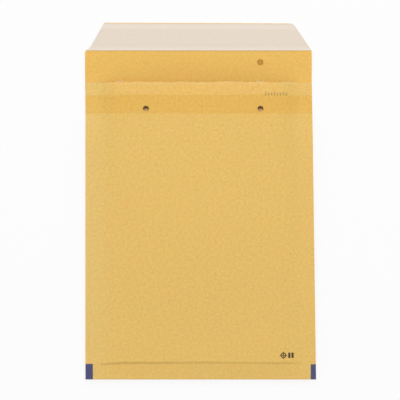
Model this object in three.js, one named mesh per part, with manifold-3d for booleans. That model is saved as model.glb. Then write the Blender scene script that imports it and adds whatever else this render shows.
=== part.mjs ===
// Padded mailing envelope of kraft paper with a bubble-film lining, lying on its back with the flap open.
// Millimetres, +Z up, +Y towards the flap, origin on the ground under the middle of the outline.
import * as THREE from "three";
import { mergeVertices } from "three/addons/utils/BufferGeometryUtils.js";
import Module from "manifold-3d";

// Outline: the left side is square to the mouth, the right side runs out a little towards the bottom fold.
// The flap's sides start with a short step and then run in at a steeper slant to its end.
const MOUTH_WIDTH = 169;
const FOLD_WIDTH = 172;
const BODY_LENGTH = 221;
const FLAP_LENGTH = 44.6;
const FLAP_TAPER_LENGTH = 21.2;
const FLAP_INSET_LEFT = 14.2;
const FLAP_INSET_RIGHT = 13.8;
const FLAP_STEP_LENGTH = 2.8;
const FLAP_STEP_LEFT = 4;
const FLAP_STEP_RIGHT = 1.8;

// Paper, film and the room between them.
const PAPER = 0.2;
const LAYER_GAP = 0.2;
const PAD = 2.8;
const FILM = 0.1;

// Side seams, and the shoulders over which the lining rises to its full thickness.
const SEAM = 8;
const SHOULDER = 16;
const SEAM_LIFT = 4;
const MOUTH_SETTLE = 48;

// Bottom fold of the paper, the empty band above it and the folded heel of the lining.
const FOLD_GAP = 0.5;
const BOTTOM_BAND = 13.5;
const CREASE_RUN = 1.8;
const CREASE_SHARE = 0.6;
const HEEL_RUN = 40;
const HEEL_SHARE = 0.35;
const HEEL_WALL = 1.2;

// Pocket between the two walls of the lining.
const POCKET_GAPE = 5.5;
const POCKET_EDGE = 0.4;
const POCKET_INSET = 4;
const POCKET_RISE = 110;

// Glue bands that hold the film to the panels below the mouth.
const GLUE = 0.1;
const GLUE_BELOW_MOUTH = 9.5;
const GLUE_WIDTH = 13.8;

// Self-seal adhesive on the flap and the release strip over it.
const ADHESIVE = 0.2;
const ADHESIVE_WIDTH = 13.8;
const ADHESIVE_FROM_END = 4.6;
const ADHESIVE_MARGIN = 3;
const STRIP = 0.15;
const STRIP_FROM_END = 0.5;
const STRIP_WIDTH = 20.3;
const STRIP_MARGIN = 0.15;

// Punched holes of the front panel and punched discs that still hang in the flap.
const HOLE_RADIUS = 2.25;
const HOLE_SPACING = 85;
const HOLES_MIDDLE_FROM_LEFT = 88.1;
const HOLES_BELOW_MOUTH = 19.9;
const DISCS_ABOVE_MOUTH = 15.1;
const DISC_CUT = 0.3;
const DISC_HINGE_ANGLE = Math.PI / 2;
const RIGHT_DISC_CUT_ANGLE = Math.PI * 1.7;
const LEFT_DISC_CUT_ANGLE = Math.PI * 0.7;

const LEFT_X = -Math.max(MOUTH_WIDTH, FOLD_WIDTH) / 2;
const LENGTH = BODY_LENGTH + FLAP_LENGTH;
const FOLD_Y = -LENGTH / 2;
const MOUTH_Y = FOLD_Y + BODY_LENGTH;
const FLAP_END_Y = LENGTH / 2;
const TAPER_Y = FLAP_END_Y - FLAP_TAPER_LENGTH;
const FLAP_STEP_Y = TAPER_Y + FLAP_STEP_LENGTH;
const FOLD_CENTRE_Y = FOLD_Y + FOLD_GAP / 2 + PAPER;
const LINER_Y = FOLD_Y + BOTTOM_BAND;
const CREASE_Y = LINER_Y - CREASE_RUN;
const HEEL_TOP_Y = LINER_Y + HEEL_RUN;
const POCKET_Y = LINER_Y + HEEL_WALL;
const POCKET_FULL_Y = LINER_Y + POCKET_RISE;
const SETTLE_Y = MOUTH_Y - MOUTH_SETTLE;
const GLUE_TOP_Y = MOUTH_Y - GLUE_BELOW_MOUTH;
const GLUE_BOTTOM_Y = GLUE_TOP_Y - GLUE_WIDTH;
const HOLES_Y = MOUTH_Y - HOLES_BELOW_MOUTH;
const DISCS_Y = MOUTH_Y + DISCS_ABOVE_MOUTH;
const CUT_OVERSHOOT = 1;

const SHOULDER_STEPS = 4;
const MIDDLE_STEPS = 8;
const FOLD_STEPS = 6;
const HOLE_SIDES = 24;
const HEEL_STEPS = 5;
const RISE_STEPS = 4;
const SETTLE_STEPS = 2;
const SAME_STATION = 1e-6;

const KRAFT_PAPER = { color: 0xe4bd6d, roughness: 0.85 };
const BUBBLE_FILM = { color: 0xf1f2ef, roughness: 0.35 };
const LINER_GLUE = { color: 0xd9b878, roughness: 0.5 };
const FLAP_GLUE = { color: 0xe8dcc0, roughness: 0.4 };
const RELEASE_PAPER = { color: 0xe7dacb, roughness: 0.45 };

const { lerp, clamp, smoothstep, inverseLerp } = THREE.MathUtils;
const wasm = await Module();
wasm.setup();

function share(start, end, value) {
  return clamp(inverseLerp(start, end, value), 0, 1);
}

// How far a side of the flap has run in at a height y: nothing below the taper, the whole inset at the end.
function flapInset(step, inset, y) {
  return step * share(TAPER_Y, FLAP_STEP_Y, y) + (inset - step) * share(FLAP_STEP_Y, FLAP_END_Y, y);
}

// Side edges of the sheet at a height y. The flap keeps the mouth's width up to its taper.
function leftEdge(y) {
  return LEFT_X + flapInset(FLAP_STEP_LEFT, FLAP_INSET_LEFT, y);
}

function rightEdge(y) {
  const width = lerp(FOLD_WIDTH, MOUTH_WIDTH, share(FOLD_Y, MOUTH_Y, y));
  return LEFT_X + width - flapInset(FLAP_STEP_RIGHT, FLAP_INSET_RIGHT, y);
}

// A place across the sheet, from -1 at the left edge to 1 at the right edge.
function acrossX(across, y) {
  return lerp(leftEdge(y), rightEdge(y), (across + 1) / 2);
}

function acrossAt(x, y) {
  return 2 * inverseLerp(leftEdge(y), rightEdge(y), x) - 1;
}

// The same place as a distance in from the nearer edge of the body.
function fromEdge(across) {
  return (1 - Math.abs(across)) * (MOUTH_WIDTH / 2);
}

function edgeAcross(distance) {
  return 1 - distance / (MOUTH_WIDTH / 2);
}

// Share of the lining's full thickness: nothing in a seam, all of it past the shoulder and the heel.
function shoulderShare(across) {
  return smoothstep(fromEdge(across), SEAM, SEAM + SHOULDER);
}

function heelShare(y) {
  return smoothstep(y, LINER_Y, HEEL_TOP_Y);
}

function wallThickness(across, y) {
  return FILM + (PAD - FILM) * shoulderShare(across) * lerp(HEEL_SHARE, 1, heelShare(y));
}

// Height of the pocket, which gapes in the middle and closes towards its sides and its heel.
function pocketHeight(across, y) {
  const reach = clamp(Math.abs(across) / edgeAcross(SEAM + POCKET_INSET), 0, 1);
  return POCKET_EDGE + (POCKET_GAPE - POCKET_EDGE) * (1 - reach ** 2) * smoothstep(y, LINER_Y, POCKET_FULL_Y);
}

// Room between the inner faces of the two panels. The crease over the heel dies out towards the seams.
function panelRoom(across, y) {
  const lined = Math.max(y, LINER_Y);
  const full = 2 * (LAYER_GAP + wallThickness(across, lined)) + pocketHeight(across, lined);
  if (y >= LINER_Y) return full;
  const creased = full * lerp(1, CREASE_SHARE, shoulderShare(across));
  if (y >= CREASE_Y) return lerp(creased, full, inverseLerp(CREASE_Y, LINER_Y, y));
  return lerp(FOLD_GAP, creased, inverseLerp(FOLD_CENTRE_Y, CREASE_Y, y));
}

// Inner face of the back panel: on the ground in the middle, lifted at the seams and the bottom fold.
function backInside(across, y) {
  const lifted = 1 - shoulderShare(across) * heelShare(y);
  return PAPER + SEAM_LIFT * lifted * (1 - smoothstep(y, SETTLE_Y, MOUTH_Y));
}

function frontInside(across, y) {
  return backInside(across, y) + panelRoom(across, y);
}

// Evenly spaced values after start, up to and with end.
function steps(start, end, count) {
  return Array.from({ length: count }, (_, i) => lerp(start, end, (i + 1) / count));
}

// Stations shared by every layer, so that neighbouring faces run parallel.
const sideSteps = [0, SEAM, ...steps(SEAM, SEAM + SHOULDER, SHOULDER_STEPS)].map(edgeAcross);
const innermost = edgeAcross(SEAM + SHOULDER);
const leftSteps = sideSteps.map((across) => -across);
const middleSteps = steps(-innermost, innermost, MIDDLE_STEPS).slice(0, -1);
const acrossSteps = [...leftSteps, ...middleSteps, ...sideSteps.toReversed()];
const pocketSide = edgeAcross(SEAM + POCKET_INSET);
const pocketAcross = [
  -pocketSide,
  ...acrossSteps.filter((across) => Math.abs(across) < pocketSide - SAME_STATION),
  pocketSide,
];
const linedSteps = [
  LINER_Y,
  POCKET_Y,
  ...steps(POCKET_Y, HEEL_TOP_Y, HEEL_STEPS),
  ...steps(HEEL_TOP_Y, POCKET_FULL_Y, RISE_STEPS),
  SETTLE_Y,
  ...steps(SETTLE_Y, GLUE_BOTTOM_Y, SETTLE_STEPS),
  GLUE_TOP_Y,
  MOUTH_Y,
];
const panelSteps = [FOLD_CENTRE_Y, CREASE_Y, ...linedSteps];

// A closed layer: the points of a divided box, each carried to its place on the envelope.
function layer(acrossStations, alongStations, place) {
  const columns = acrossStations.length - 1;
  const rows = alongStations.length - 1;
  const box = new THREE.BoxGeometry(columns, rows, 1, columns, rows, 1);
  box.deleteAttribute("normal");
  box.deleteAttribute("uv");
  const geometry = mergeVertices(box);
  const position = geometry.attributes.position;
  const point = new THREE.Vector3();
  for (let i = 0; i < position.count; i++) {
    const column = Math.round(position.getX(i) + columns / 2);
    const row = Math.round(position.getY(i) + rows / 2);
    place(point, acrossStations[column], alongStations[row], position.getZ(i) > 0);
    position.setXYZ(i, point.x, point.y, point.z);
  }
  alignDiagonals(geometry);
  return geometry;
}

// Splits each four-cornered face along the diagonal that climbs to the right, so that stacked layers match.
function alignDiagonals(geometry) {
  const { position } = geometry.attributes;
  const corners = geometry.index.array;
  for (let i = 0; i < corners.length; i += 6) {
    const [a, b, d, , c] = corners.subarray(i, i + 5);
    const run = position.getX(d) - position.getX(b);
    const climb = position.getY(d) - position.getY(b);
    if (run * climb < 0) corners.set([a, b, c, a, c, d], i);
  }
}

function solid(geometry) {
  const bare = geometry.clone();
  bare.deleteAttribute("normal");
  bare.deleteAttribute("uv");
  const merged = mergeVertices(bare);
  const vertProperties = merged.attributes.position.array;
  const triVerts = new Uint32Array(merged.index.array);
  return new wasm.Manifold(new wasm.Mesh({ numProp: 3, vertProperties, triVerts }));
}

function geometryOf(manifold) {
  const mesh = manifold.getMesh();
  const geometry = new THREE.BufferGeometry();
  geometry.setAttribute("position", new THREE.BufferAttribute(mesh.vertProperties, 3));
  geometry.setIndex(new THREE.BufferAttribute(mesh.triVerts, 1));
  geometry.computeVertexNormals();
  return geometry;
}

// A punch through the front panel and the film behind it, from the middle of the pocket upwards.
function holePunch(x) {
  const across = acrossAt(x, HOLES_Y);
  const top = frontInside(across, HOLES_Y) + PAPER + CUT_OVERSHOOT;
  const bottom = backInside(across, HOLES_Y) + panelRoom(across, HOLES_Y) / 2;
  const punch = new THREE.CylinderGeometry(HOLE_RADIUS, HOLE_RADIUS, top - bottom, HOLE_SIDES);
  punch.rotateX(Math.PI / 2);
  punch.translate(x, HOLES_Y, (top + bottom) / 2);
  return solid(punch);
}

// A curved cut through the flap round a disc that still hangs on its hinge.
function discCut(x, cutAngle) {
  const start = DISC_HINGE_ANGLE + (2 * Math.PI - cutAngle) / 2;
  const outline = new THREE.Shape();
  outline.absarc(0, 0, HOLE_RADIUS, start, start + cutAngle, false);
  outline.absarc(0, 0, HOLE_RADIUS - DISC_CUT, start + cutAngle, start, true);
  const depth = PAPER + 2 * CUT_OVERSHOOT;
  const curveSegments = HOLE_SIDES / 2;
  const cut = new THREE.ExtrudeGeometry(outline, { depth, bevelEnabled: false, curveSegments });
  cut.translate(x, DISCS_Y, -CUT_OVERSHOOT);
  return solid(cut);
}

const holesMiddle = LEFT_X + HOLES_MIDDLE_FROM_LEFT;
const leftHoleX = holesMiddle - HOLE_SPACING / 2;
const rightHoleX = holesMiddle + HOLE_SPACING / 2;
const holePunches = [holePunch(leftHoleX), holePunch(rightHoleX)];

function punched(geometry) {
  return holePunches.reduce((body, punch) => body.subtract(punch), solid(geometry));
}

// The kraft sheet, followed from the flap's end down the back, round the bottom fold and up the front.
// A station's turn is 0 on the back panel and the flap, 1 on the front panel and between them round the fold.
function kraftSheet() {
  const back = panelSteps.toReversed().map((y) => ({ y, turn: 0 }));
  const fold = steps(0, 1, FOLD_STEPS).slice(0, -1).map((turn) => ({ y: FOLD_CENTRE_Y, turn }));
  const front = panelSteps.map((y) => ({ y, turn: 1 }));
  const flap = [FLAP_END_Y, FLAP_STEP_Y, TAPER_Y].map((y) => ({ y, turn: 0 }));
  const stations = [...flap, ...back, ...fold, ...front];
  const sheet = layer(acrossSteps, stations, (point, across, { y, turn }, outside) => {
    const skin = outside ? PAPER : 0;
    const x = acrossX(across, y);
    if (turn === 0) return point.set(x, y, backInside(across, y) - skin);
    if (turn === 1) return point.set(x, y, frontInside(across, y) + skin);
    const radius = FOLD_GAP / 2 + skin;
    const middle = backInside(across, y) + FOLD_GAP / 2;
    const angle = Math.PI * turn;
    return point.set(x, y - radius * Math.sin(angle), middle - radius * Math.cos(angle));
  });
  return geometryOf(
    punched(sheet)
      .subtract(discCut(leftHoleX, LEFT_DISC_CUT_ANGLE))
      .subtract(discCut(rightHoleX, RIGHT_DISC_CUT_ANGLE)),
  );
}

// The bubble film: a pad that fills the room between the panels, less the pocket, which is open at the mouth.
function bubbleLiner() {
  const pad = layer(acrossSteps, linedSteps, (point, across, y, top) =>
    point.set(
      acrossX(across, y),
      y,
      top ? frontInside(across, y) - LAYER_GAP : backInside(across, y) + LAYER_GAP,
    ),
  );
  const pocketSteps = [...linedSteps.filter((y) => y >= POCKET_Y), MOUTH_Y + CUT_OVERSHOOT];
  const pocket = layer(pocketAcross, pocketSteps, (point, across, y, top) => {
    const section = Math.min(y, MOUTH_Y);
    const wall = LAYER_GAP + wallThickness(across, section);
    const height = top ? frontInside(across, section) - wall : backInside(across, section) + wall;
    return point.set(acrossX(across, section), y, height);
  });
  return geometryOf(punched(pad).subtract(solid(pocket)));
}

// A glue band halfway between a panel and the film, over the full width of the sheet.
function glueBand(onFront) {
  const clearance = (LAYER_GAP - GLUE) / 2;
  return layer(acrossSteps, [GLUE_BOTTOM_Y, GLUE_TOP_Y], (point, across, y, top) => {
    const bottom = onFront ? frontInside(across, y) - clearance - GLUE : backInside(across, y) + clearance;
    return point.set(acrossX(across, y), y, top ? bottom + GLUE : bottom);
  });
}

// A flat band on the tapered flap, between two distances from the flap's end and a margin inside its sides.
function flapBand(fromEnd, width, margin, thickness) {
  const top = FLAP_END_Y - fromEnd;
  const bottom = top - width;
  const heights = [bottom, FLAP_STEP_Y, top].filter((y, i) => i !== 1 || y > bottom + SAME_STATION);
  const right = heights.map((y) => new THREE.Vector2(rightEdge(y) - margin, y));
  const left = heights.map((y) => new THREE.Vector2(leftEdge(y) + margin, y));
  const outline = new THREE.Shape([...right, ...left.toReversed()]);
  return new THREE.ExtrudeGeometry(outline, { depth: thickness, bevelEnabled: false });
}

function add(group, name, geometry, finish) {
  const mesh = new THREE.Mesh(geometry, new THREE.MeshStandardMaterial({ ...finish, metalness: 0 }));
  mesh.name = name;
  group.add(mesh);
  return mesh;
}

const envelope = new THREE.Group();
add(envelope, "kraft_sheet", kraftSheet(), KRAFT_PAPER);
add(envelope, "bubble_liner", bubbleLiner(), BUBBLE_FILM);
add(envelope, "front_glue_band", geometryOf(punched(glueBand(true))), LINER_GLUE);
add(envelope, "back_glue_band", glueBand(false), LINER_GLUE);
const adhesive = flapBand(ADHESIVE_FROM_END, ADHESIVE_WIDTH, ADHESIVE_MARGIN, ADHESIVE);
add(envelope, "flap_adhesive", adhesive, FLAP_GLUE).position.z = PAPER;
const strip = flapBand(STRIP_FROM_END, STRIP_WIDTH, STRIP_MARGIN, STRIP);
add(envelope, "release_strip", strip, RELEASE_PAPER).position.z = PAPER + ADHESIVE;

export default envelope;
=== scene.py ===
"""Padded kraft envelope with a bubble-film lining, lying on its back with the flap open."""
import math
import bpy
import numpy as np
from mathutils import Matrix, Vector


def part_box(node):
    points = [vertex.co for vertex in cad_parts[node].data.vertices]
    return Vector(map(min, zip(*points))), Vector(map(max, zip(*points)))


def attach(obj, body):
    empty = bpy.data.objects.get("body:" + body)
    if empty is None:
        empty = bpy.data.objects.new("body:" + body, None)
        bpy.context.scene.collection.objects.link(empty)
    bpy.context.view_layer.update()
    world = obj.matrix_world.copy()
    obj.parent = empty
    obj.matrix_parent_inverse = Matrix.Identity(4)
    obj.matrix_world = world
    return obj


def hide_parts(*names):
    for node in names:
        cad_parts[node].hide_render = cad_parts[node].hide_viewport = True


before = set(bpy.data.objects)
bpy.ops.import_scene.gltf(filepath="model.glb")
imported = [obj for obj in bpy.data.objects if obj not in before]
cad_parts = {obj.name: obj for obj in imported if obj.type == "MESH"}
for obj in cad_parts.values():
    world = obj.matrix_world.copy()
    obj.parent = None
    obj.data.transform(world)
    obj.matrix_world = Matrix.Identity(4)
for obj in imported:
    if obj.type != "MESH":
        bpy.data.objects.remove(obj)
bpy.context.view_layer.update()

# Sizes are millimetres until a mesh is made.
MM = 0.001


def box_in_mm(node):
    return [np.array(corner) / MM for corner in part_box(node)]


KRAFT_LOW, KRAFT_HIGH = box_in_mm("kraft_sheet")
LINER_LOW, LINER_HIGH = box_in_mm("bubble_liner")
GLUE_LOW, GLUE_HIGH = box_in_mm("front_glue_band")
ADHESIVE_LOW, ADHESIVE_HIGH = box_in_mm("flap_adhesive")
STRIP_LOW, STRIP_HIGH = box_in_mm("release_strip")

# Outline of the paper.
LEFT_X = KRAFT_LOW[0]
FOLD_WIDTH = KRAFT_HIGH[0] - KRAFT_LOW[0]
MOUTH_WIDTH = 169.0
FOLD_Y = KRAFT_LOW[1]
FLAP_END_Y = KRAFT_HIGH[1]
LINER_Y = LINER_LOW[1]
MOUTH_Y = LINER_HIGH[1]
TAPER_Y = FLAP_END_Y - 21.2
FLAP_STEP_Y = TAPER_Y + 2.8
FLAP_STEP_LEFT = 4.0
FLAP_STEP_RIGHT = 1.8
FLAP_INSET_LEFT = 14.2
FLAP_INSET_RIGHT = 13.8
FLAP_CORNER_LEFT = 0.5
FLAP_CORNER_RIGHT = 2.2
FLAP_END_SKEW = 0.75
LEFT_PULL = 0.48
LEFT_PULL_TOP_Y = MOUTH_Y + 8.0
LEFT_PULL_FULL_Y = MOUTH_Y - 26.0

# Layers.
PAPER = 0.2
LAYER_GAP = 0.2
SEAM_GAP = 0.06
FILM = 0.1
PAD = 2.8
STRIP = STRIP_HIGH[2] - STRIP_LOW[2]
STRIP_MARGIN = 0.0
STRIP_CURL = 0.35
STRIP_SEAT = 0.05
STRIP_SETTLE = 2.5
STRIP_WAVE = 0.02
ADHESIVE = ADHESIVE_HIGH[2] - ADHESIVE_LOW[2]
ADHESIVE_MARGIN = 3.0
ADHESIVE_SEAT = 0.005
GLUE_INSET = 0.6
GLUE_SHARES = (0.25, 0.75)

# Section of the stuffed body.
SEAM = 8.0
SHOULDER = 16.0
SEAM_LIFT = 4.0
SETTLE_Y = MOUTH_Y - 48.0
FOLD_GAP = 0.5
FOLD_CENTRE_Y = FOLD_Y + FOLD_GAP / 2 + PAPER
CREASE_Y = LINER_Y - 1.8
CREASE_SHARE = 0.62
CREASE_LEAN = 0.25
CREASE_SINK_LEFT = 1.3
CREASE_SINK_RIGHT = 0.8
HEEL_TOP_Y = LINER_Y + 40.0
HEEL_SHARE = 0.35
HEEL_TURN = 1.0
POCKET_GAPE = KRAFT_HIGH[2] - 2 * (PAPER + LAYER_GAP + PAD)
POCKET_EDGE = 0.4
POCKET_INSET = 4.0
POCKET_FULL_Y = LINER_Y + 110.0
POCKET_SLIT = 0.04
FLAP_ARCH = 1.4

# Bubbles of the film.
BUBBLE_PITCH = 10.4
BUBBLE_RADIUS = 4.9
FILM_INSET = 0.3
BURST_SHARE = 0.1
BURST_RUN = 5.5

# Scraps of film at the mouth: place from the left edge, half width and reach past the paper.
TORN_SCRAPS = ((26.9, 2.6, 1.6), (115.5, 1.0, 1.9), (128.4, 1.4, 2.2), (131.9, 1.2, 1.7))
SCRAP_FLAT = 0.3
SCRAP_CURL = 0.7
TEAR_RUN = 3.0

# Punched holes.
HOLE_RADIUS = 2.25
HOLE_SPACING = 85.0
HOLES_MIDDLE_X = LEFT_X + 88.1
HOLES_X = (HOLES_MIDDLE_X - HOLE_SPACING / 2, HOLES_MIDDLE_X + HOLE_SPACING / 2)
HOLES_Y = MOUTH_Y - 19.9
DISCS_Y = MOUTH_Y + 15.1
HINGE_CHORD = 0.84
DISC_ROOT = 0.12
LAYER_HOLE_EXTRA = 0.2
FRONT_CUT = 2.0
FLAP_CUT = 1.5
GLUE_CUT = 3.0
CUT_OVERSHOOT = 1.0
FRONT_HINGE = -math.pi / 2
FRONT_DISC_TILT = math.radians(56.0)
FRONT_DISC_RADIUS = 2.2
FLAP_DISCS = {
    "left": (math.radians(60.0), math.radians(3.0), 2.22),
    "right": (math.radians(90.0), math.radians(9.0), 2.26),
}
# How strong the painted shade is on the two sunken flap discs.
DISC_SHADE_PAINT = (0.12, 0.85)

# Plain printed marks, on the flat sheet from the left end of the bottom fold.
# Corner marks give start, end and height; the rest is centres, radii, arms, widths and heights.
CORNER_MARKS = ((0.6, 6.1, 11.7), (FOLD_WIDTH - 4.0, FOLD_WIDTH + 2.0, 11.4))
CORNER_MARK_SOFTNESS = 0.35
REGISTER_MARK = (147.7, 18.15)
REGISTER_RING = (1.3, 2.1)
REGISTER_ARM = 2.7
REGISTER_LINE_HALF = 0.3
INK_PATCHES = ((3.5, 5.2), (5.9, 7.6))
INK_PATCH_HALF = 2.0
INK_SOFTNESS = 0.3
LINE_SOFTNESS = 0.25
TICK_MARKS = (134.0, 211.0)
TICK_COUNT = 8
TICK_PITCH = 2.2
TICK_WIDTH = 0.9
TICK_HEIGHTS = (2.9, 2.1, 2.1)
TICK_SOFTNESS = 0.5

# How strongly the painted sheen on the seams and shoulders shows, stronger on the left.
LEFT_SHEEN_PAINT = 0.8
RIGHT_SHEEN_PAINT = 0.2

# Spacing of the meshes.
SHEET_STEP = 1.6
HOLE_MARGIN = 5.0
HOLE_STEP = 0.7


# Shape of the envelope

def share(value, start, end):
    """How far value has come from start to end, held between 0 and 1."""
    return np.clip((value - start) / (end - start), 0.0, 1.0)


def ease(value, start, end):
    t = share(value, start, end)
    return t * t * (3.0 - 2.0 * t)


def between(a, b, t):
    return a + (b - a) * t


def waves(x, y, length, seed, count=6):
    """Smooth unevenness, mostly between -1 and 1, with about that wavelength."""
    draw = np.random.default_rng(seed)
    total = 0.0
    for _ in range(count):
        turn, phase = draw.uniform(0.0, 2.0 * math.pi, 2)
        along = (x * math.cos(turn) + y * math.sin(turn)) / (length * draw.uniform(0.7, 1.5))
        total = total + np.sin(2.0 * math.pi * along + phase)
    return total * math.sqrt(2.0 / count) / 1.4


def corner_round(y, radius):
    """How far a rounded corner of the flap's end pulls the side edge in."""
    t = share(y, FLAP_END_Y - radius, FLAP_END_Y)
    return radius * (1.0 - np.sqrt(1.0 - t * t))


def flap_inset(step, inset, corner, y):
    """How far a side of the flap has run in: a short step, a steeper slant, then the rounded corner."""
    slant = (inset - step) * share(y, FLAP_STEP_Y, FLAP_END_Y)
    return step * share(y, TAPER_Y, FLAP_STEP_Y) + slant + corner_round(y, corner)


def left_edge(y):
    """The flap's left side is flush with the frame, and the stuffed body's is drawn in a little."""
    pull = LEFT_PULL * (1.0 - ease(y, LEFT_PULL_FULL_Y, LEFT_PULL_TOP_Y))
    return LEFT_X + pull + flap_inset(FLAP_STEP_LEFT, FLAP_INSET_LEFT, FLAP_CORNER_LEFT, y)


def right_edge(y):
    width = between(FOLD_WIDTH, MOUTH_WIDTH, share(y, FOLD_Y, MOUTH_Y))
    return LEFT_X + width - flap_inset(FLAP_STEP_RIGHT, FLAP_INSET_RIGHT, FLAP_CORNER_RIGHT, y)


def across_x(across, y):
    """x of a place across the sheet, which runs from -1 at the left edge to 1 at the right edge."""
    return between(left_edge(y), right_edge(y), (across + 1.0) / 2.0)


def from_edge(across):
    return (1.0 - np.abs(across)) * MOUTH_WIDTH / 2.0


def shoulder_share(across):
    return ease(from_edge(across), SEAM, SEAM + SHOULDER)


def heel_share(y):
    return ease(y, LINER_Y, HEEL_TOP_Y)


def wall_thickness(across, y):
    return FILM + (PAD - FILM) * shoulder_share(across) * between(HEEL_SHARE, 1.0, heel_share(y))


def pocket_height(across, y):
    reach = np.minimum(1.0, np.abs(across) / (1.0 - (SEAM + POCKET_INSET) / (MOUTH_WIDTH / 2.0)))
    return POCKET_EDGE + (POCKET_GAPE - POCKET_EDGE) * (1.0 - reach**2) * ease(y, LINER_Y, POCKET_FULL_Y)


def crease_drift(across, y):
    """The crease over the lining's heel wanders a little and sinks towards the seams."""
    x = across * MOUTH_WIDTH / 2.0
    drift = 0.1 * waves(x, 0.0, 60.0, 11) + 0.06 * waves(x, 0.0, 17.0, 12)
    drift = drift - CREASE_SINK_LEFT * ease(-across, 0.66, 0.86)
    drift = drift - CREASE_SINK_RIGHT * ease(across, 0.72, 0.9)
    return drift * (1.0 - share(np.abs(y - LINER_Y), 2.0, 9.0))


def panel_room(across, y):
    """Height between the inner faces of the two panels."""
    y = y - crease_drift(across, y)
    lined_y = np.maximum(y, LINER_Y)
    full = 2.0 * (LAYER_GAP + wall_thickness(across, lined_y)) + pocket_height(across, lined_y)
    uneven = 0.05 * waves(across * MOUTH_WIDTH / 2.0, 0.0, 50.0, 13)
    deeper_left = CREASE_LEAN * ease(-across, 0.1, 0.75)
    reached = ease(from_edge(across), SEAM - 1.0, SEAM + SHOULDER / 4)
    depth = (1.0 - CREASE_SHARE + uneven + deeper_left) * reached
    step = full * (1.0 - depth)
    below = between(FOLD_GAP, step, share(y, FOLD_CENTRE_Y, CREASE_Y))
    return np.where(y < CREASE_Y, below, between(step, full, ease(y, CREASE_Y, LINER_Y)))


def flap_lift(y):
    """The open flap springs up a little between the mouth and its end."""
    return FLAP_ARCH * np.sin(math.pi * share(y, MOUTH_Y, FLAP_END_Y)) ** 2


def back_inside(across, y):
    lifted = SEAM_LIFT * (1.0 - shoulder_share(across) * heel_share(y)) * (1.0 - ease(y, SETTLE_Y, MOUTH_Y))
    return PAPER + lifted + flap_lift(y)


def dome(x, along):
    """Height share of the bubble at a place on the film, from 0 between bubbles to 1 on top of one."""
    row_pitch = BUBBLE_PITCH * math.sqrt(3.0) / 2.0
    best = np.full(np.broadcast(x, along).shape, np.inf)
    for offset in (0, 1):
        row = 2.0 * np.round((along / row_pitch - offset) / 2.0) + offset
        stagger = BUBBLE_PITCH / 2.0 * offset
        column = np.round((x - stagger) / BUBBLE_PITCH) * BUBBLE_PITCH + stagger
        best = np.minimum(best, (x - column) ** 2 + (along - row * row_pitch) ** 2)
    return np.maximum(0.0, 1.0 - best / BUBBLE_RADIUS**2) ** 0.55


def paper_relief(across, y):
    """Soft unevenness of the front panel over the bubbles."""
    x = across_x(across, y)
    stuffed = shoulder_share(across) * heel_share(y)
    seam = 1.0 - ease(from_edge(across), SEAM - 3.0, SEAM + 5.0)
    puffs = 0.10 * waves(x, y, 70.0, 21) + 0.035 * waves(x, y, 24.0, 22) + 0.02 * dome(x, y)
    return stuffed * puffs + 0.05 * seam * waves(x, y, 11.0, 23)


def front_inside(across, y):
    return back_inside(across, y) + panel_room(across, y) + paper_relief(across, y)


def layer_gap(across):
    """Room between paper and film, pressed together in the seams."""
    return between(SEAM_GAP, LAYER_GAP, ease(from_edge(across), SEAM - 4.0, SEAM))


# Mesh making

def stations(start, end, step, fine=()):
    """Places from start to end, a step apart, or closer inside the (low, high, step) stretches of fine."""
    low_end, high_end = min(start, end), max(start, end)
    places = [low_end]
    while places[-1] < high_end:
        here = places[-1]
        places.append(here + min([step] + [s for low, high, s in fine if low - step < here < high]))
    walked = np.array(places)
    walked = low_end + (walked - low_end) * (high_end - low_end) / (walked[-1] - low_end)
    return walked if start < end else walked[::-1]


def add_object(name, points, faces, sheet_places, materials=(), face_materials=None):
    """A mesh object from points in mm. Each point keeps its place on the flat sheet as a UV."""
    mesh = bpy.data.meshes.new(name)
    mesh.from_pydata((np.asarray(points) * MM).tolist(), [], [list(face) for face in faces])
    for material in materials:
        mesh.materials.append(material)
    if face_materials is not None:
        mesh.polygons.foreach_set("material_index", np.asarray(face_materials, dtype=np.int32))
    corners = np.empty(len(mesh.loops), dtype=np.int32)
    mesh.loops.foreach_get("vertex_index", corners)
    layer = mesh.uv_layers.new(name="Sheet")
    layer.data.foreach_set("uv", np.asarray(sheet_places, dtype=np.float32)[corners].ravel())
    piece = bpy.data.objects.new(name, mesh)
    bpy.context.scene.collection.objects.link(piece)
    return piece


def add_layer(name, inner, outer, sheet_places, materials):
    """A closed sheet between two grids of points, with rows along its second direction."""
    rows, columns = outer.shape[:2]
    count = rows * columns
    at = np.arange(count).reshape(rows, columns)
    a, b, c, d = at[:-1, :-1].ravel(), at[:-1, 1:].ravel(), at[1:, 1:].ravel(), at[1:, :-1].ravel()
    outside = np.stack([a, b, c, d], axis=1)
    inside = np.stack([d, c, b, a], axis=1) + count
    rims = []
    for edge in (at[0, ::-1], at[-1], at[:, 0], at[::-1, -1]):
        rims.append(np.stack([edge[:-1], edge[1:], edge[1:] + count, edge[:-1] + count], axis=1))
    rims = np.concatenate(rims)
    faces = np.concatenate([outside, inside, rims])
    sides = np.repeat([0, len(materials) - 1], [len(outside), len(inside) + len(rims)])
    points = np.concatenate([outer.reshape(-1, 3), inner.reshape(-1, 3)])
    places = np.tile(np.asarray(sheet_places).reshape(-1, 2), (2, 1))
    return add_object(name, points, faces, places, materials, sides)


def grid(across, y, z):
    """Points of a grid from its across values, its y values and its heights."""
    across, y = np.broadcast_arrays(across, y)
    return np.stack([across_x(across, y), y, np.broadcast_to(z, y.shape)], axis=-1)


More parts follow.
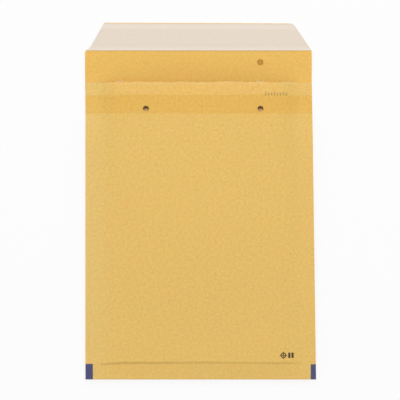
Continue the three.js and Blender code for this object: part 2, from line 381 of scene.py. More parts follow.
def add_prism(name, outline, low, high, sheet_place, along=1.0, material_index=0):
    """A closed prism over a flat outline.

    sheet_place is its origin on the flat sheet, and along is 1 or -1 as the sheet runs there.
    """
    count = len(outline)
    bottom = np.column_stack([outline, np.full(count, low)])
    top = np.column_stack([outline, np.full(count, high)])
    faces = [list(range(count))[::-1], [count + i for i in range(count)]]
    for i in range(count):
        j = (i + 1) % count
        faces.append([i, j, count + j, count + i])
    places = np.tile(np.asarray(outline) * [1.0, along] + sheet_place, (2, 1))
    return add_object(name, np.concatenate([bottom, top]), faces, places, (), [material_index] * len(faces))


def shift(piece, x, y):
    """Moves a mesh's own points in the plane."""
    points = np.empty(3 * len(piece.data.vertices))
    piece.data.vertices.foreach_get("co", points)
    piece.data.vertices.foreach_set("co", (points.reshape(-1, 3) + np.array([x, y, 0.0]) * MM).ravel())
    return piece


def apply_boolean(piece, tools, operation):
    """Cuts the tools out of a piece, or joins them to it, and removes them."""
    for tool in tools:
        change = piece.modifiers.new(operation.lower(), "BOOLEAN")
        change.operation = operation
        change.solver = "EXACT"
        change.object = tool
        bpy.context.view_layer.update()
        seen = piece.evaluated_get(bpy.context.evaluated_depsgraph_get())
        made = bpy.data.meshes.new_from_object(seen)
        piece.modifiers.clear()
        old = piece.data
        piece.data = made
        bpy.data.meshes.remove(old)
        bpy.data.objects.remove(tool)


def finish_mesh(piece, sharp_degrees=40.0):
    """Smooth shading with hard lines at cut edges."""
    mesh = piece.data
    mesh.polygons.foreach_set("use_smooth", np.ones(len(mesh.polygons), dtype=bool))
    mesh.set_sharp_from_angle(angle=math.radians(sharp_degrees))
    mesh.update()


def settle(piece, node):
    """The piece stands for a part of the frame and moves with it."""
    finish_mesh(piece)
    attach(piece, "root")
    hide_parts(node)
    return piece


# Punched holes

def disc_outline(radius, hinge, root=0.0, sides=40):
    """A round disc cut straight along the chord where it still hangs."""
    stop = math.acos(HINGE_CHORD)
    angles = hinge + np.linspace(stop, 2.0 * math.pi - stop, sides)
    outline = radius * np.column_stack([np.cos(angles), np.sin(angles)])
    if root:
        step = root * np.array([math.cos(hinge), math.sin(hinge)])
        outline = np.concatenate([[outline[0] + step], outline, [outline[-1] + step]])
    return outline


def hung_disc(name, centre, hinge, tilt, radius, sheet_place, along, material_index):
    """A punched disc turned down about the chord where it hangs, with its root inside the sheet."""
    outline = disc_outline(radius, hinge, DISC_ROOT)
    disc = add_prism(name, outline, -PAPER / 2, PAPER / 2, sheet_place, along, material_index)
    toward = np.array([math.cos(hinge), math.sin(hinge), 0.0])
    axis = np.array([toward[1], -toward[0], 0.0])
    pivot = toward * HINGE_CHORD * HOLE_RADIUS
    for vertex in disc.data.vertices:
        arm = np.array(vertex.co) / MM - pivot
        turned = (
            arm * math.cos(tilt)
            + np.cross(axis, arm) * math.sin(tilt)
            + axis * np.dot(axis, arm) * (1.0 - math.cos(tilt))
        )
        vertex.co = (centre + pivot + turned) * MM
    return disc


def punch(name, x, y, hinge, low, high, sheet_place, along):
    """The cut that leaves a hanging disc."""
    return shift(add_prism(name, disc_outline(HOLE_RADIUS, hinge), low, high, sheet_place, along, 1), x, y)


def round_punch(name, x, y, low, high):
    """A round hole a little wider than the one in the paper."""
    angles = np.linspace(0.0, 2.0 * math.pi, 40, endpoint=False)
    outline = (HOLE_RADIUS + LAYER_HOLE_EXTRA) * np.column_stack([np.cos(angles), np.sin(angles)])
    return shift(add_prism(name, outline, low, high, (x - LEFT_X, y - LINER_Y)), x, y)


def front_level(x):
    """Height of the front panel's inner face at a hole."""
    left, right = left_edge(HOLES_Y), right_edge(HOLES_Y)
    return float(front_inside(2.0 * (x - left) / (right - left) - 1.0, HOLES_Y))


# Materials

def colour(code):
    """A colour written as six hex digits, as linear values."""
    values = [int(code[i:i + 2], 16) / 255.0 for i in (0, 2, 4)]
    return [v / 12.92 if v <= 0.04045 else ((v + 0.055) / 1.055) ** 2.4 for v in values] + [1.0]


def feed(tree, socket, value):
    """Sets a socket to a value, or links it to another socket."""
    if isinstance(value, bpy.types.NodeSocket):
        tree.links.new(value, socket)
    else:
        socket.default_value = value


def place(tree, kind, inputs=(), **settings):
    """A node with its settings and inputs."""
    node = tree.nodes.new(kind)
    for key, value in settings.items():
        setattr(node, key, value)
    for key, value in dict(inputs).items():
        feed(tree, node.inputs[key], value)
    return node


def calc(tree, operation, a, b=0.0):
    return place(tree, "ShaderNodeMath", {0: a, 1: b}, operation=operation).outputs[0]


def weighted(tree, parts):
    """The sum of values, each times its weight."""
    terms = [calc(tree, "MULTIPLY", value, weight) for value, weight in parts]
    total = terms[0]
    for term in terms[1:]:
        total = calc(tree, "ADD", total, term)
    return total


def ramp(tree, value, low, high, to_low=0.0, to_high=1.0):
    inputs = {"Value": value, "From Min": low, "From Max": high, "To Min": to_low, "To Max": to_high}
    return place(tree, "ShaderNodeMapRange", inputs).outputs[0]


def mix(tree, factor, a, b, blend_type="MIX"):
    node = place(tree, "ShaderNodeMix", data_type="RGBA", blend_type=blend_type)
    for socket, value in ((0, factor), (6, a), (7, b)):
        feed(tree, node.inputs[socket], value)
    return node.outputs[2]


def noise(tree, vector, scale, detail=2.0, roughness=0.5):
    inputs = {"Vector": vector, "Scale": scale, "Detail": detail, "Roughness": roughness}
    return place(tree, "ShaderNodeTexNoise", inputs).outputs[0]


def stretched(tree, vector, turn, scale):
    inputs = {"Vector": vector, "Rotation": (0.0, 0.0, turn), "Scale": scale}
    return place(tree, "ShaderNodeMapping", inputs).outputs[0]


def new_group(name, inputs, outputs):
    """A shader node group with named sockets; returns its tree, its input node and its output node."""
    tree = bpy.data.node_groups.new(name, "ShaderNodeTree")
    kinds = {"vector": "NodeSocketVector", "value": "NodeSocketFloat", "colour": "NodeSocketColor"}
    for socket, kind in inputs:
        tree.interface.new_socket(name=socket, in_out="INPUT", socket_type=kinds[kind])
    for socket, kind in outputs:
        tree.interface.new_socket(name=socket, in_out="OUTPUT", socket_type=kinds[kind])
    return tree, tree.nodes.new("NodeGroupInput"), tree.nodes.new("NodeGroupOutput")


def use_group(tree, group, inputs):
    node = place(tree, "ShaderNodeGroup", node_tree=group)
    for key, value in inputs.items():
        feed(tree, node.inputs[key], value)
    return node


def paper_fibres_group():
    """Cloudy formation, crossing fibres, dark flecks and surface relief of a paper."""
    outputs = [("Tone", "value"), ("Flecks", "value"), ("Relief", "value")]
    tree, given, gives = new_group("Paper fibres", [("Sheet", "vector"), ("Fineness", "value")], outputs)
    scaled = place(tree, "ShaderNodeVectorMath", {0: given.outputs["Sheet"]}, operation="SCALE")
    tree.links.new(given.outputs["Fineness"], scaled.inputs["Scale"])
    sheet = scaled.outputs[0]
    clouds = noise(tree, sheet, 0.5, 4.0, 0.62)
    long_fibres = noise(tree, stretched(tree, sheet, 0.12, (0.45, 2.4, 1.0)), 1.0, 3.0, 0.6)
    cross_fibres = noise(tree, stretched(tree, sheet, -0.9, (0.5, 2.0, 1.0)), 1.0, 3.0, 0.6)
    fibres = weighted(tree, [(long_fibres, 0.55), (cross_fibres, 0.45)])
    tone = weighted(tree, [(clouds, 0.4), (fibres, 0.6)])
    tree.links.new(ramp(tree, tone, 0.36, 0.64), gives.inputs["Tone"])
    specks = noise(tree, stretched(tree, sheet, 0.4, (0.9, 1.5, 1.0)), 0.55, 1.0, 0.4)
    tree.links.new(ramp(tree, specks, 0.765, 0.8), gives.inputs["Flecks"])
    tooth = noise(tree, sheet, 2.6, 3.0, 0.65)
    relief = weighted(tree, [(fibres, 0.6), (tooth, 0.4)])
    tree.links.new(relief, gives.inputs["Relief"])
    return tree


def soft_edge(tree, inside, softness):
    """1 well inside an edge and 0 well outside it, from the distance inside."""
    soft = calc(tree, "ADD", calc(tree, "DIVIDE", inside, softness), 0.5)
    return place(tree, "ShaderNodeClamp", {"Value": soft}).outputs[0]


def field_group():
    """A mask that is 1 inside a rectangle of the flat sheet, with soft sides."""
    inputs = [("Sheet", "vector"), ("Low", "vector"), ("High", "vector"), ("Softness", "value")]
    tree, given, gives = new_group("Sheet field", inputs, [("Mask", "value")])
    parts = {}
    for key in ("Sheet", "Low", "High"):
        parts[key] = place(tree, "ShaderNodeSeparateXYZ", {0: given.outputs[key]})
    mask = None
    for axis in ("X", "Y"):
        here = parts["Sheet"].outputs[axis]
        past_low = calc(tree, "SUBTRACT", here, parts["Low"].outputs[axis])
        past_high = calc(tree, "SUBTRACT", parts["High"].outputs[axis], here)
        inside = calc(tree, "MINIMUM", past_low, past_high)
        held = soft_edge(tree, inside, given.outputs["Softness"])
        mask = held if mask is None else calc(tree, "MULTIPLY", mask, held)
    tree.links.new(mask, gives.inputs["Mask"])
    return tree


def spot_group():
    """A mask that is 1 inside a circle of the flat sheet, with a soft rim."""
    inputs = [("Sheet", "vector"), ("Centre", "vector"), ("Radius", "value"), ("Softness", "value")]
    tree, given, gives = new_group("Sheet spot", inputs, [("Mask", "value")])
    ends = {0: given.outputs["Sheet"], 1: given.outputs["Centre"]}
    distance = place(tree, "ShaderNodeVectorMath", ends, operation="DISTANCE").outputs["Value"]
    inside = calc(tree, "SUBTRACT", given.outputs["Radius"], distance)
    tree.links.new(soft_edge(tree, inside, given.outputs["Softness"]), gives.inputs["Mask"])
    return tree


PAPER_FIBRES = paper_fibres_group()
SHEET_FIELD = field_group()
SHEET_SPOT = spot_group()


def new_material(name):
    material = bpy.data.materials.new(name)
    material.use_nodes = True
    material.node_tree.nodes.clear()
    tree = material.node_tree
    return material, tree, place(tree, "ShaderNodeOutputMaterial")


def principled(tree, output, inputs):
    shader = place(tree, "ShaderNodeBsdfPrincipled", inputs)
    tree.links.new(shader.outputs[0], output.inputs["Surface"])
    return shader


def sheet_place_of(tree):
    return place(tree, "ShaderNodeUVMap", uv_map="Sheet").outputs[0]


def bump(tree, height, distance_mm, strength=1.0):
    inputs = {"Height": height, "Distance": distance_mm * MM, "Strength": strength}
    return place(tree, "ShaderNodeBump", inputs).outputs[0]


def field(tree, sheet, low, high, softness):
    inputs = {"Sheet": sheet, "Low": (*low, 0.0), "High": (*high, 0.0), "Softness": softness}
    return use_group(tree, SHEET_FIELD, inputs).outputs[0]


def spot(tree, sheet, centre, radius, softness):
    inputs = {"Sheet": sheet, "Centre": (*centre, 0.0), "Radius": radius, "Softness": softness}
    return use_group(tree, SHEET_SPOT, inputs).outputs[0]


def either(tree, masks):
    total = masks[0]
    for mask in masks[1:]:
        total = calc(tree, "MAXIMUM", total, mask)
    return total


def kraft_surface(tree, light, dark):
    """Base colour, roughness and normal of bare kraft paper."""
    sheet = sheet_place_of(tree)
    fibres = use_group(tree, PAPER_FIBRES, {"Sheet": sheet, "Fineness": 1.0})
    base = mix(tree, fibres.outputs["Tone"], colour(dark), colour(light))
    base = mix(tree, calc(tree, "MULTIPLY", fibres.outputs["Flecks"], 0.4), base, colour("8a5a24"))
    rough = ramp(tree, fibres.outputs["Tone"], 0.0, 1.0, 0.82, 0.68)
    normal = bump(tree, fibres.outputs["Relief"], 0.06, 0.5)
    return sheet, base, rough, normal


def kraft_shader(tree, output, base, rough, normal):
    """Matte paper that lets a little warm light through."""
    principled(tree, output, {
        "Base Color": base, "Roughness": rough, "Normal": normal, "Specular IOR Level": 0.3,
        "Subsurface Weight": 0.5, "Subsurface Radius": (1.0, 0.5, 0.2), "Subsurface Scale": 0.5 * MM,
    })


def soaked_by_glue(tree, sheet):
    """Where the glue under the paper shows through it, with a slightly wandering outline."""
    wander = noise(tree, sheet, 0.05, 2.0)
    uneven = place(tree, "ShaderNodeCombineXYZ", {"Y": ramp(tree, wander, 0.3, 0.7, -0.5, 0.5)}).outputs[0]
    drifting = place(tree, "ShaderNodeVectorMath", {0: sheet, 1: uneven}, operation="ADD").outputs[0]
    low, high = GLUE_LOW[1] - FOLD_Y, GLUE_HIGH[1] - FOLD_Y
    return field(tree, drifting, (-5.0, low), (FOLD_WIDTH + 5.0, high), 0.8)


def painted_shoulder_sheen(tree, sheet):
    """The paler strips along both sides over the seams and shoulders: painted sheen, stronger on the left.
    """
    past_sheet = 2.0 * (FLAP_END_Y - FOLD_Y)
    reach = SEAM + SHOULDER / 2
    left = field(tree, sheet, (-SEAM, -past_sheet), (reach, past_sheet), SHOULDER)
    right = field(tree, sheet, (FOLD_WIDTH - reach, -past_sheet), (FOLD_WIDTH + SEAM, past_sheet), SHOULDER)
    return weighted(tree, [(left, LEFT_SHEEN_PAINT), (right, RIGHT_SHEEN_PAINT)])


def torn_fibres_and_highlight(tree, sheet):
    """Pale torn fibres along the cut edge of the mouth, and a painted highlight where the lip catches the
    light.
    """
    lip = MOUTH_Y - FOLD_Y
    edge = field(tree, sheet, (-5.0, lip - 1.6), (FOLD_WIDTH + 5.0, lip + 2.0), 1.6)
    return calc(tree, "MULTIPLY", edge, ramp(tree, noise(tree, sheet, 0.8, 3.0, 0.7), 0.48, 0.7))


def corner_marks(tree, sheet):
    """The solid guide marks that wrap the bottom fold at both corners."""
    wrapped = place(tree, "ShaderNodeVectorMath", {0: sheet}, operation="ABSOLUTE").outputs[0]
    marks = []
    for start, end, height in CORNER_MARKS:
        marks.append(field(tree, wrapped, (start, -1.0), (end, height), CORNER_MARK_SOFTNESS))
    return either(tree, marks)


def register_mark(tree, sheet):
    """A plain ring with crossed lines and two ink patches, as a press prints beside its work."""
    x, y = REGISTER_MARK
    inside, outside = [spot(tree, sheet, (x, y), radius, INK_SOFTNESS) for radius in REGISTER_RING]
    inked = [calc(tree, "SUBTRACT", outside, inside)]
    for half_x, half_y in ((REGISTER_ARM, REGISTER_LINE_HALF), (REGISTER_LINE_HALF, REGISTER_ARM)):
        inked.append(field(tree, sheet, (x - half_x, y - half_y), (x + half_x, y + half_y), LINE_SOFTNESS))
    for start, end in INK_PATCHES:
        low, high = (x + start, y - INK_PATCH_HALF), (x + end, y + INK_PATCH_HALF)
        inked.append(field(tree, sheet, low, high, INK_SOFTNESS))
    return either(tree, inked)


def tick_marks(tree, sheet):
    """A faint row of plain ticks under the mouth."""
    x, y = TICK_MARKS
    ticks = []
    for i in range(TICK_COUNT):
        height = TICK_HEIGHTS[i % len(TICK_HEIGHTS)]
        left = x + i * TICK_PITCH
        ticks.append(field(tree, sheet, (left, y), (left + TICK_WIDTH, y + height), TICK_SOFTNESS))
    return either(tree, ticks)


def kraft_outside():
    """Outer face: darker where glue has soaked in, with painted sheen over the seams and shoulders, pale
    torn fibres with a painted highlight at the mouth, painted shade on the hanging discs and plain printed
    marks.
    """
    material, tree, output = new_material("kraft outside")
    sheet, base, rough, normal = kraft_surface(tree, "f4cb75", "e0b260")
    # Painted sheen: paler, greyer strips over the seams and shoulders, stronger on the left.
    paler = mix(tree, 1.0, base, colour("fffff0"), "MULTIPLY")
    base = mix(tree, painted_shoulder_sheen(tree, sheet), base, mix(tree, 0.1, paler, colour("dfe0cb")))
    soaked = mix(tree, 1.0, base, colour("fdf4d9"), "MULTIPLY")
    base = mix(tree, soaked_by_glue(tree, sheet), base, soaked)
    # Pale torn fibres with a painted highlight along the mouth's lip.
    base = mix(tree, calc(tree, "MULTIPLY", torn_fibres_and_highlight(tree, sheet), 0.6), base, colour("f6e0ad"))
    base = mix(tree, corner_marks(tree, sheet), base, colour("505179"))
    base = mix(tree, calc(tree, "MULTIPLY", register_mark(tree, sheet), 0.95), base, colour("221b18"))
    base = mix(tree, calc(tree, "MULTIPLY", tick_marks(tree, sheet), 0.5), base, colour("6f5a42"))
    # Painted shade on the discs that hang down inside the front holes.
    painted_disc_shade = [spot(tree, sheet, (x - LEFT_X, HOLES_Y - FOLD_Y), HOLE_RADIUS - 0.05, 0.2) for x in HOLES_X]
    base = mix(tree, calc(tree, "MULTIPLY", either(tree, painted_disc_shade), 0.8), base, colour("cda173"))
    kraft_shader(tree, output, base, rough, normal)
    return material


def kraft_inside():
    """Inner face and cut edges: the more orange side that the open flap shows, with painted shade on its
    sunken discs.
    """
    material, tree, output = new_material("kraft inside")
    sheet, base, rough, normal = kraft_surface(tree, "f9c96b", "e7b45a")
    # Painted shade: a darker ring with a paler middle on each sunken disc.
    for x, (_, _, radius), shade_strength in zip(HOLES_X, FLAP_DISCS.values(), DISC_SHADE_PAINT):
        centre = (x - LEFT_X, FOLD_Y - DISCS_Y)
        rim = spot(tree, sheet, centre, radius, 0.35)
        middle = calc(tree, "MULTIPLY", spot(tree, sheet, centre, radius / 2, radius), 0.5)
        painted_shade = calc(tree, "MULTIPLY", calc(tree, "SUBTRACT", rim, middle), shade_strength)
        base = mix(tree, painted_shade, base, colour("a8701c"))
    kraft_shader(tree, output, base, rough, normal)
    return material


def bubble_film():
    """Thin clear film, milkier where it turns away from the eye and paler along its cut edges, partly the
    whitened cut film and partly a painted highlight.
    """
    material, tree, output = new_material("bubble film")
    sheet = sheet_place_of(tree)
    along = place(tree, "ShaderNodeSeparateXYZ", {0: sheet}).outputs["Y"]
    film_length = MOUTH_Y - LINER_Y
    # Along the mouth's cut edge the film turns warm, pale and nearly opaque: partly whitened cut film,
    # partly a painted highlight.
    edge = ramp(tree, calc(tree, "ABSOLUTE", along), film_length - 2.0, film_length + 0.3)
    facing = place(tree, "ShaderNodeLayerWeight", {"Blend": 0.35}).outputs["Facing"]
    veil = ramp(tree, facing, 0.0, 0.9, 0.14, 0.62)
    alpha = calc(tree, "MAXIMUM", veil, calc(tree, "MULTIPLY", edge, 0.92))
    haze = noise(tree, sheet, 0.35, 3.0)
    clouded = mix(tree, haze, colour("e9cd98"), colour("f3ddb0"))
    principled(tree, output, {
        "Base Color": mix(tree, edge, clouded, colour("ffd48c")),
        "Roughness": ramp(tree, haze, 0.3, 0.7, 0.14, 0.32),
        "Alpha": alpha,
        "Normal": bump(tree, noise(tree, sheet, 0.9, 3.0), 0.12, 0.4),
        "IOR": 1.5,
    })
    return material


def liner_glue():
    material, tree, output = new_material("liner glue")
    sheet = sheet_place_of(tree)
    streaks = noise(tree, stretched(tree, sheet, 0.0, (0.3, 1.5, 1.0)), 0.6, 3.0)
    principled(tree, output, {
        "Base Color": mix(tree, streaks, colour("cfa862"), colour("e2c48a")),
        "Roughness": ramp(tree, streaks, 0.3, 0.7, 0.35, 0.6),
        "Normal": bump(tree, streaks, 0.05),
    })
    return material


def seal_adhesive():
    material, tree, output = new_material("seal adhesive")
    sheet = sheet_place_of(tree)
    ripples = noise(tree, stretched(tree, sheet, 0.0, (0.15, 1.0, 1.0)), 0.8, 3.0)
    principled(tree, output, {
        "Base Color": mix(tree, ripples, colour("e2d5b6"), colour("f0e7cf")),
        "Roughness": ramp(tree, ripples, 0.3, 0.7, 0.25, 0.45),
        "Normal": bump(tree, ripples, 0.08),
    })
    return material


def release_paper():
    """Smooth siliconised strip, faintly clouded, and a shade darker where it is stuck down."""
    material, tree, output = new_material("release paper")
    sheet = sheet_place_of(tree)
    fibres = use_group(tree, PAPER_FIBRES, {"Sheet": sheet, "Fineness": 1.3})
    base = mix(tree, fibres.outputs["Tone"], colour("dacdbd"), colour("e3d6c9"))
    low, high = ADHESIVE_LOW[1] - FOLD_Y, ADHESIVE_HIGH[1] - FOLD_Y
    stuck = field(tree, sheet, (0.0, low), (FOLD_WIDTH, high), 2.0)
    principled(tree, output, {
        "Base Color": mix(tree, stuck, base, mix(tree, 1.0, base, colour("fbf9f5"), "MULTIPLY")),
        "Roughness": ramp(tree, fibres.outputs["Tone"], 0.0, 1.0, 0.46, 0.36),
        "Normal": bump(tree, fibres.outputs["Relief"], 0.015, 0.5),
        "Specular IOR Level": 0.4,
    })
    return material


# Pieces

def fine_at_hole(place_mm):
    """A stretch of closer stations around a punched hole or disc."""
    return (place_mm - HOLE_MARGIN, place_mm + HOLE_MARGIN, HOLE_STEP)


HOLE_FINE_X = [fine_at_hole(x - LEFT_X) for x in HOLES_X]
ACROSS = stations(0.0, MOUTH_WIDTH, SHEET_STEP, HOLE_FINE_X) * 2.0 / MOUTH_WIDTH - 1.0


def kraft_sheet():
    """One folded sheet: flap and back panel, the bottom fold, then the front panel up to the mouth."""
    flap_fine = [fine_at_hole(DISCS_Y), (FLAP_END_Y - 2.6, FLAP_END_Y + 1.0, 0.35)]
    flap_y = stations(FLAP_END_Y, MOUTH_Y, 1.8, flap_fine)
    back_y = stations(MOUTH_Y, FOLD_CENTRE_Y, 3.2)[1:-1]
    turn = np.linspace(-math.pi / 2, math.pi / 2, 9)[:, None]
    front_fine = [
        (LINER_Y - 4.0, LINER_Y + 2.5, 0.4),
        fine_at_hole(HOLES_Y),
        (MOUTH_Y - 2.5, MOUTH_Y, 0.5),
    ]
    front_y = stations(FOLD_CENTRE_Y, MOUTH_Y, SHEET_STEP, front_fine)[1:, None]
    under_y = np.concatenate([flap_y, back_y])[:, None]

    under = back_inside(ACROSS, under_y)
    fold_middle = back_inside(ACROSS, FOLD_CENTRE_Y) + FOLD_GAP / 2
    over = front_inside(ACROSS, front_y)

    def surface(thickness):
        radius = FOLD_GAP / 2 + thickness
        blocks = [
            grid(ACROSS, under_y, under - thickness),
            grid(ACROSS, FOLD_CENTRE_Y - radius * np.cos(turn), fold_middle + radius * np.sin(turn)),
            grid(ACROSS, front_y, over + thickness),
        ]
        points = np.concatenate(blocks)
        skew = FLAP_END_SKEW * share(points[..., 0], LEFT_X, -LEFT_X) ** 1.5
        points[..., 1] -= skew * share(points[..., 1], TAPER_Y, FLAP_END_Y)
        return points

    inner, outer = surface(0.0), surface(PAPER)
    developed = np.concatenate([FOLD_Y - under_y[:, 0], np.zeros(len(turn)), front_y[:, 0] - FOLD_Y])
    places = np.stack(np.broadcast_arrays(outer[..., 0] - LEFT_X, developed[:, None]), axis=-1)
    ragged = 0.26 * waves(inner[-1, :, 0], 0.0, 4.0, 31) + 0.28 * waves(inner[-1, :, 0], 0.0, 19.0, 32)
    inner[-1, :, 1] += ragged
    outer[-1, :, 1] += ragged
    sheet = add_layer("kraft_envelope", inner, outer, places, [kraft_outside(), kraft_inside()])

    cuts, discs = [], []
    for side, x in zip(("left", "right"), HOLES_X):
        top = front_level(x) + PAPER / 2
        on_sheet = (x - LEFT_X, HOLES_Y - FOLD_Y)
        cuts.append(punch(
            f"front_cut_{side}", x, HOLES_Y, FRONT_HINGE, top - FRONT_CUT, top + FRONT_CUT, on_sheet, 1.0,
        ))
        centre = np.array([x, HOLES_Y, top])
        discs.append(hung_disc(
            f"front_disc_{side}", centre, FRONT_HINGE, FRONT_DISC_TILT, FRONT_DISC_RADIUS, on_sheet, 1.0, 0,
        ))
        hinge, tilt, radius = FLAP_DISCS[side]
        level = float(back_inside(0.0, DISCS_Y)) - PAPER / 2
        on_sheet = (x - LEFT_X, FOLD_Y - DISCS_Y)
        cuts.append(punch(
            f"flap_cut_{side}", x, DISCS_Y, hinge, level - FLAP_CUT, level + FLAP_CUT, on_sheet, -1.0,
        ))
        centre = np.array([x, DISCS_Y, level])
        discs.append(hung_disc(f"flap_disc_{side}", centre, hinge, tilt, radius, on_sheet, -1.0, 1))
    apply_boolean(sheet, cuts, "DIFFERENCE")
    apply_boolean(sheet, discs, "UNION")
    return settle(sheet, "kraft_sheet")


def tear_mouth(points, seed, torn=()):
    """The film's cut edge at the mouth is ragged, with scraps that stand past the paper."""
    x = points[..., 0]
    near = share(points[..., 1], MOUTH_Y - TEAR_RUN, MOUTH_Y) ** 1.5
    rag = waves(x, 0.0, 2.6, seed) + 0.6 * waves(x, 0.0, 30.0, seed + 10)
    scraps = 1.2 * np.clip(rag - 0.95, -0.2, 0.5)
    for from_left, half_width, reach in torn:
        tuft = np.exp(-((x - LEFT_X - from_left) / half_width) ** 2)
        scraps = scraps + reach * tuft * (0.8 + 0.4 * waves(x, 0.0, 2.2, seed + 20))
    points = points.copy()
    points[..., 1] += near * scraps
    if torn:
        points[..., 2] += SCRAP_CURL * np.maximum(0.0, points[..., 1] - MOUTH_Y - SCRAP_FLAT)
    return points


def bubble_liner():
    """One web of film folded at the heel, flat against the paper and bubbled towards the pocket."""
    across = stations(0.0, MOUTH_WIDTH, BUBBLE_PITCH / 12.0) * 2.0 / MOUTH_WIDTH - 1.0
    across = across * (1.0 - 2.0 * FILM_INSET / MOUTH_WIDTH)
    turn_y = LINER_Y + HEEL_TURN
    near_mouth = [(MOUTH_Y - 60.0, MOUTH_Y, BUBBLE_PITCH / 8.0), (MOUTH_Y - 3.0, MOUTH_Y, 0.5)]
    back_y = stations(MOUTH_Y, turn_y, BUBBLE_PITCH / 4.0, near_mouth)[:, None]
    turn = np.linspace(-math.pi / 2, math.pi / 2, 7)[1:-1, None]
    front_y = stations(turn_y, MOUTH_Y, BUBBLE_PITCH / 4.0, near_mouth)[:, None]
    gap = layer_gap(across)

    def wall(y, along):
        room = panel_room(across, y) - 2.0 * gap
        limit = (room - POCKET_SLIT) / 2.0
        seam = 1.0 - ease(from_edge(across), SEAM, SEAM + POCKET_INSET)
        base = FILM + (limit - FILM) * seam
        bubble = np.maximum(0.0, np.minimum(wall_thickness(across, y), limit) - FILM)
        x = across_x(across, y)
        burst = between(BURST_SHARE, 1.0, ease(MOUTH_Y - y + 0.8 * waves(x, y, 9.0, 43), 0.5, BURST_RUN))
        return np.minimum(limit, base + bubble * burst * dome(x, along))

    under = back_inside(across, back_y) + gap
    over = front_inside(across, front_y) - gap
    heel_low = back_inside(across, turn_y) + gap
    heel_half = (front_inside(across, turn_y) - gap - heel_low) / 2.0
    heel_y = turn_y - HEEL_TURN * np.cos(turn)
    heel_inner_y = turn_y - (HEEL_TURN - FILM) * np.cos(turn)
    heel_room = (heel_half - FILM).clip(POCKET_SLIT)

    back_along, front_along = LINER_Y - back_y, front_y - LINER_Y
    outer = np.concatenate([
        grid(across, back_y, under),
        grid(across, heel_y, heel_low + heel_half * (1.0 + np.sin(turn))),
        grid(across, front_y, over),
    ])
    inner = np.concatenate([
        grid(across, back_y, under + wall(back_y, back_along)),
        grid(across, heel_inner_y, heel_low + heel_half + heel_room * np.sin(turn)),
        grid(across, front_y, over - wall(front_y, front_along)),
    ])
    developed = np.concatenate([back_along, np.zeros_like(turn), front_along])
    places = np.stack(np.broadcast_arrays(outer[..., 0] - LEFT_X, developed), axis=-1)
    back_rows, front_rows = slice(0, len(back_y)), slice(-len(front_y), None)
    for points in (inner, outer):
        points[back_rows] = tear_mouth(points[back_rows], 41)
        points[front_rows] = tear_mouth(points[front_rows], 42, TORN_SCRAPS)
    film = add_layer("bubble_film_pocket", inner, outer, places, [bubble_film()])

    cuts = []
    for x in HOLES_X:
        top = front_level(x)
        cuts.append(round_punch("film_cut", x, HOLES_Y, (top + PAPER) / 2, top + CUT_OVERSHOOT))
    apply_boolean(film, cuts, "DIFFERENCE")
    return settle(film, "bubble_liner")


def glue_band(name, heights):
    """A thin band of glue between a panel and the film. heights gives its lower and upper face."""
    y = stations(GLUE_LOW[1], GLUE_HIGH[1], SHEET_STEP)[:, None]
    across = ACROSS * (1.0 - 2.0 * GLUE_INSET / MOUTH_WIDTH)
    low, high = heights(across, y)
    outer, inner = grid(across, y, high), grid(across, y, low)
    places = np.stack(np.broadcast_arrays(outer[..., 0] - LEFT_X, y - FOLD_Y), axis=-1)
    return add_layer(name, inner, outer, places, [liner_glue()])


def front_glue_band():
    def heights(across, y):
        near, far = [part * layer_gap(across) for part in GLUE_SHARES]
        top = front_inside(across, y)
        return top - far, top - near

    band = glue_band("front_glue", heights)
    cuts = []
    for x in HOLES_X:
        top = front_level(x)
        cuts.append(round_punch("glue_cut", x, HOLES_Y, top - GLUE_CUT, top + CUT_OVERSHOOT))
    apply_boolean(band, cuts, "DIFFERENCE")
    return settle(band, "front_glue_band")


def back_glue_band():
    def heights(across, y):
        near, far = [part * layer_gap(across) for part in GLUE_SHARES]
        floor = back_inside(across, y)
        return floor + near, floor + far

    return settle(glue_band("back_glue", heights), "back_glue_band")


def flap_layer(name, low_y, high_y, margin, bottom, top, material):
    """A thin layer on the open flap. bottom and top give heights over the flap from edge distances."""
    y = stations(low_y, high_y, 1.0, [(high_y - 2.6, high_y, 0.35)])[:, None]
    across = ACROSS * (1.0 - 2.0 * margin / MOUTH_WIDTH)
    x = across_x(across, y)
    to_edge = np.minimum(np.minimum(y - low_y, high_y - y), (1.0 - np.abs(ACROSS)) * MOUTH_WIDTH / 2.0)
    to_edge = np.broadcast_to(to_edge, x.shape)
    flap = back_inside(across, y)
    skew = FLAP_END_SKEW * share(x, LEFT_X, -LEFT_X) ** 1.5 * share(y, TAPER_Y, FLAP_END_Y)
    outer = np.stack(np.broadcast_arrays(x, y - skew, flap + top(to_edge, x, y)), axis=-1)
    inner = np.stack(np.broadcast_arrays(x, y - skew, flap + bottom(to_edge, x, y)), axis=-1)
    places = np.stack(np.broadcast_arrays(x - LEFT_X, y - FOLD_Y), axis=-1)
    return add_layer(name, inner, outer, places, [material])


def flap_adhesive():
    def bottom(to_edge, x, y):
        return np.full_like(x, ADHESIVE_SEAT)

    def top(to_edge, x, y):
        return ADHESIVE * ease(to_edge, -1.0, 1.2) * (0.92 + 0.04 * waves(x, y, 9.0, 51))

    layer = flap_layer(
        "flap_seal", ADHESIVE_LOW[1], ADHESIVE_HIGH[1], ADHESIVE_MARGIN, bottom, top, seal_adhesive(),
    )
    return settle(layer, "flap_adhesive")


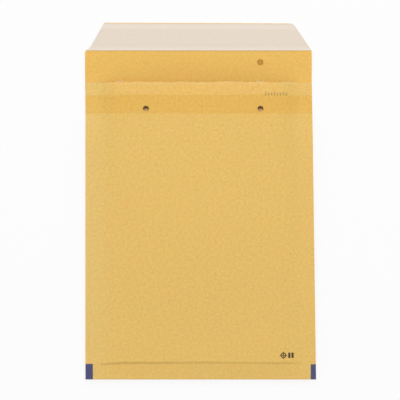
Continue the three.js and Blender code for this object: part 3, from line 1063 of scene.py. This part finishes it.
def release_strip():
    """The strip lies on the adhesive and settles towards the paper past its edges."""
    def lying(x, y):
        past = np.maximum(ADHESIVE_LOW[1] - y, y - ADHESIVE_HIGH[1])
        ends = np.maximum(left_edge(y) + ADHESIVE_MARGIN - x, x - right_edge(y) + ADHESIVE_MARGIN)
        held = 1.0 - ease(np.maximum(past, ends), 0.0, STRIP_SETTLE)
        curl = STRIP_CURL * (1.0 - share(y, STRIP_LOW[1], ADHESIVE_LOW[1])) ** 2
        return STRIP_SEAT + (ADHESIVE + ADHESIVE_SEAT - STRIP_SEAT) * held + curl

    def bottom(to_edge, x, y):
        return lying(x, y) + STRIP_WAVE * (1.0 + waves(x, y, 23.0, 61))

    def top(to_edge, x, y):
        return bottom(to_edge, x, y) + STRIP

    strip = flap_layer(
        "release_liner", STRIP_LOW[1], STRIP_HIGH[1], STRIP_MARGIN, bottom, top, release_paper(),
    )
    return settle(strip, "release_strip")


# Studio

PHOTO_SIDE = 400
PIXEL = 0.7453
LEFT_EDGE_PIXEL = 85.0
FOLD_PIXEL = 379.1
CAMERA_DISTANCE = 2000.0
SENSOR = 36.0
CAMERA_FAR_M = 20.0
WORLD_LEVEL = 0.55
KEY_POWER = 7.0
KEY_PLACE_M = (0.0, 1.0, 1.15)
KEY_SIZE_M = 0.8
OVERHEAD_POWER = 13.0
OVERHEAD_PLACE_M = (0.0, 0.25, 2.2)
OVERHEAD_SIZE_M = 1.5
FLOOR_GLOW = 0.86
FLOOR_GREY = 0.86
FLOOR_HALF_M = 3.0
FLOOR_DROP_M = 0.0002


def camera():
    """Straight down, with the flap at the top of the picture."""
    data = bpy.data.cameras.new("camera")
    data.sensor_width = SENSOR
    data.lens = SENSOR * CAMERA_DISTANCE / (PHOTO_SIDE * PIXEL)
    data.clip_end = CAMERA_FAR_M
    eye = bpy.data.objects.new("camera", data)
    bpy.context.scene.collection.objects.link(eye)
    x = LEFT_X + (PHOTO_SIDE / 2 - LEFT_EDGE_PIXEL) * PIXEL
    y = FOLD_Y + (FOLD_PIXEL - PHOTO_SIDE / 2) * PIXEL
    eye.location = np.array([x, y, CAMERA_DISTANCE]) * MM
    bpy.context.scene.camera = eye


def area_light(name, place_m, size, power):
    """A round lamp that shines on the middle of the envelope."""
    data = bpy.data.lights.new(name, "AREA")
    data.shape = "DISK"
    data.size = size
    data.energy = power
    lamp = bpy.data.objects.new(name, data)
    bpy.context.scene.collection.objects.link(lamp)
    lamp.location = place_m
    lamp.rotation_mode = "QUATERNION"
    lamp.rotation_quaternion = Vector(place_m).to_track_quat("Z", "Y")


def seen_directly(tree):
    """1 for rays from the camera, from gloss and through glass."""
    path = place(tree, "ShaderNodeLightPath")
    both = calc(tree, "MAXIMUM", path.outputs["Is Camera Ray"], path.outputs["Is Glossy Ray"])
    return calc(tree, "MAXIMUM", both, path.outputs["Is Transmission Ray"])


def studio():
    scene = bpy.context.scene
    scene.view_settings.view_transform = "Standard"
    world = bpy.data.worlds.new("studio")
    scene.world = world
    world.use_nodes = True
    tree = world.node_tree
    background = tree.nodes["Background"]
    background.inputs["Color"].default_value = (1.0, 1.0, 1.0, 1.0)
    level = ramp(tree, seen_directly(tree), 0.0, 1.0, WORLD_LEVEL, 1.0)
    tree.links.new(level, background.inputs["Strength"])

    area_light("key", KEY_PLACE_M, KEY_SIZE_M, KEY_POWER)
    area_light("overhead", OVERHEAD_PLACE_M, OVERHEAD_SIZE_M, OVERHEAD_POWER)

    corners = np.array([[-1.0, -1.0, 0.0], [1.0, -1.0, 0.0], [1.0, 1.0, 0.0], [-1.0, 1.0, 0.0]])
    floor = add_object("floor", corners * FLOOR_HALF_M / MM, [[0, 1, 2, 3]], np.zeros((4, 2)))
    floor.location.z = -FLOOR_DROP_M
    material, tree, output = new_material("studio floor")
    matte = place(tree, "ShaderNodeBsdfDiffuse", {"Color": (FLOOR_GREY, FLOOR_GREY, FLOOR_GREY, 1.0)})
    glow = place(tree, "ShaderNodeEmission", {"Color": (1.0, 1.0, 1.0, 1.0), "Strength": 1.0})
    blended = place(tree, "ShaderNodeMixShader", {
        0: calc(tree, "MULTIPLY", seen_directly(tree), FLOOR_GLOW), 1: matte.outputs[0], 2: glow.outputs[0],
    })
    tree.links.new(blended.outputs[0], output.inputs["Surface"])
    floor.data.materials.append(material)


camera()
studio()
envelope = kraft_sheet()
bubble_liner()
front_glue_band()
back_glue_band()
flap_adhesive()
release_strip()
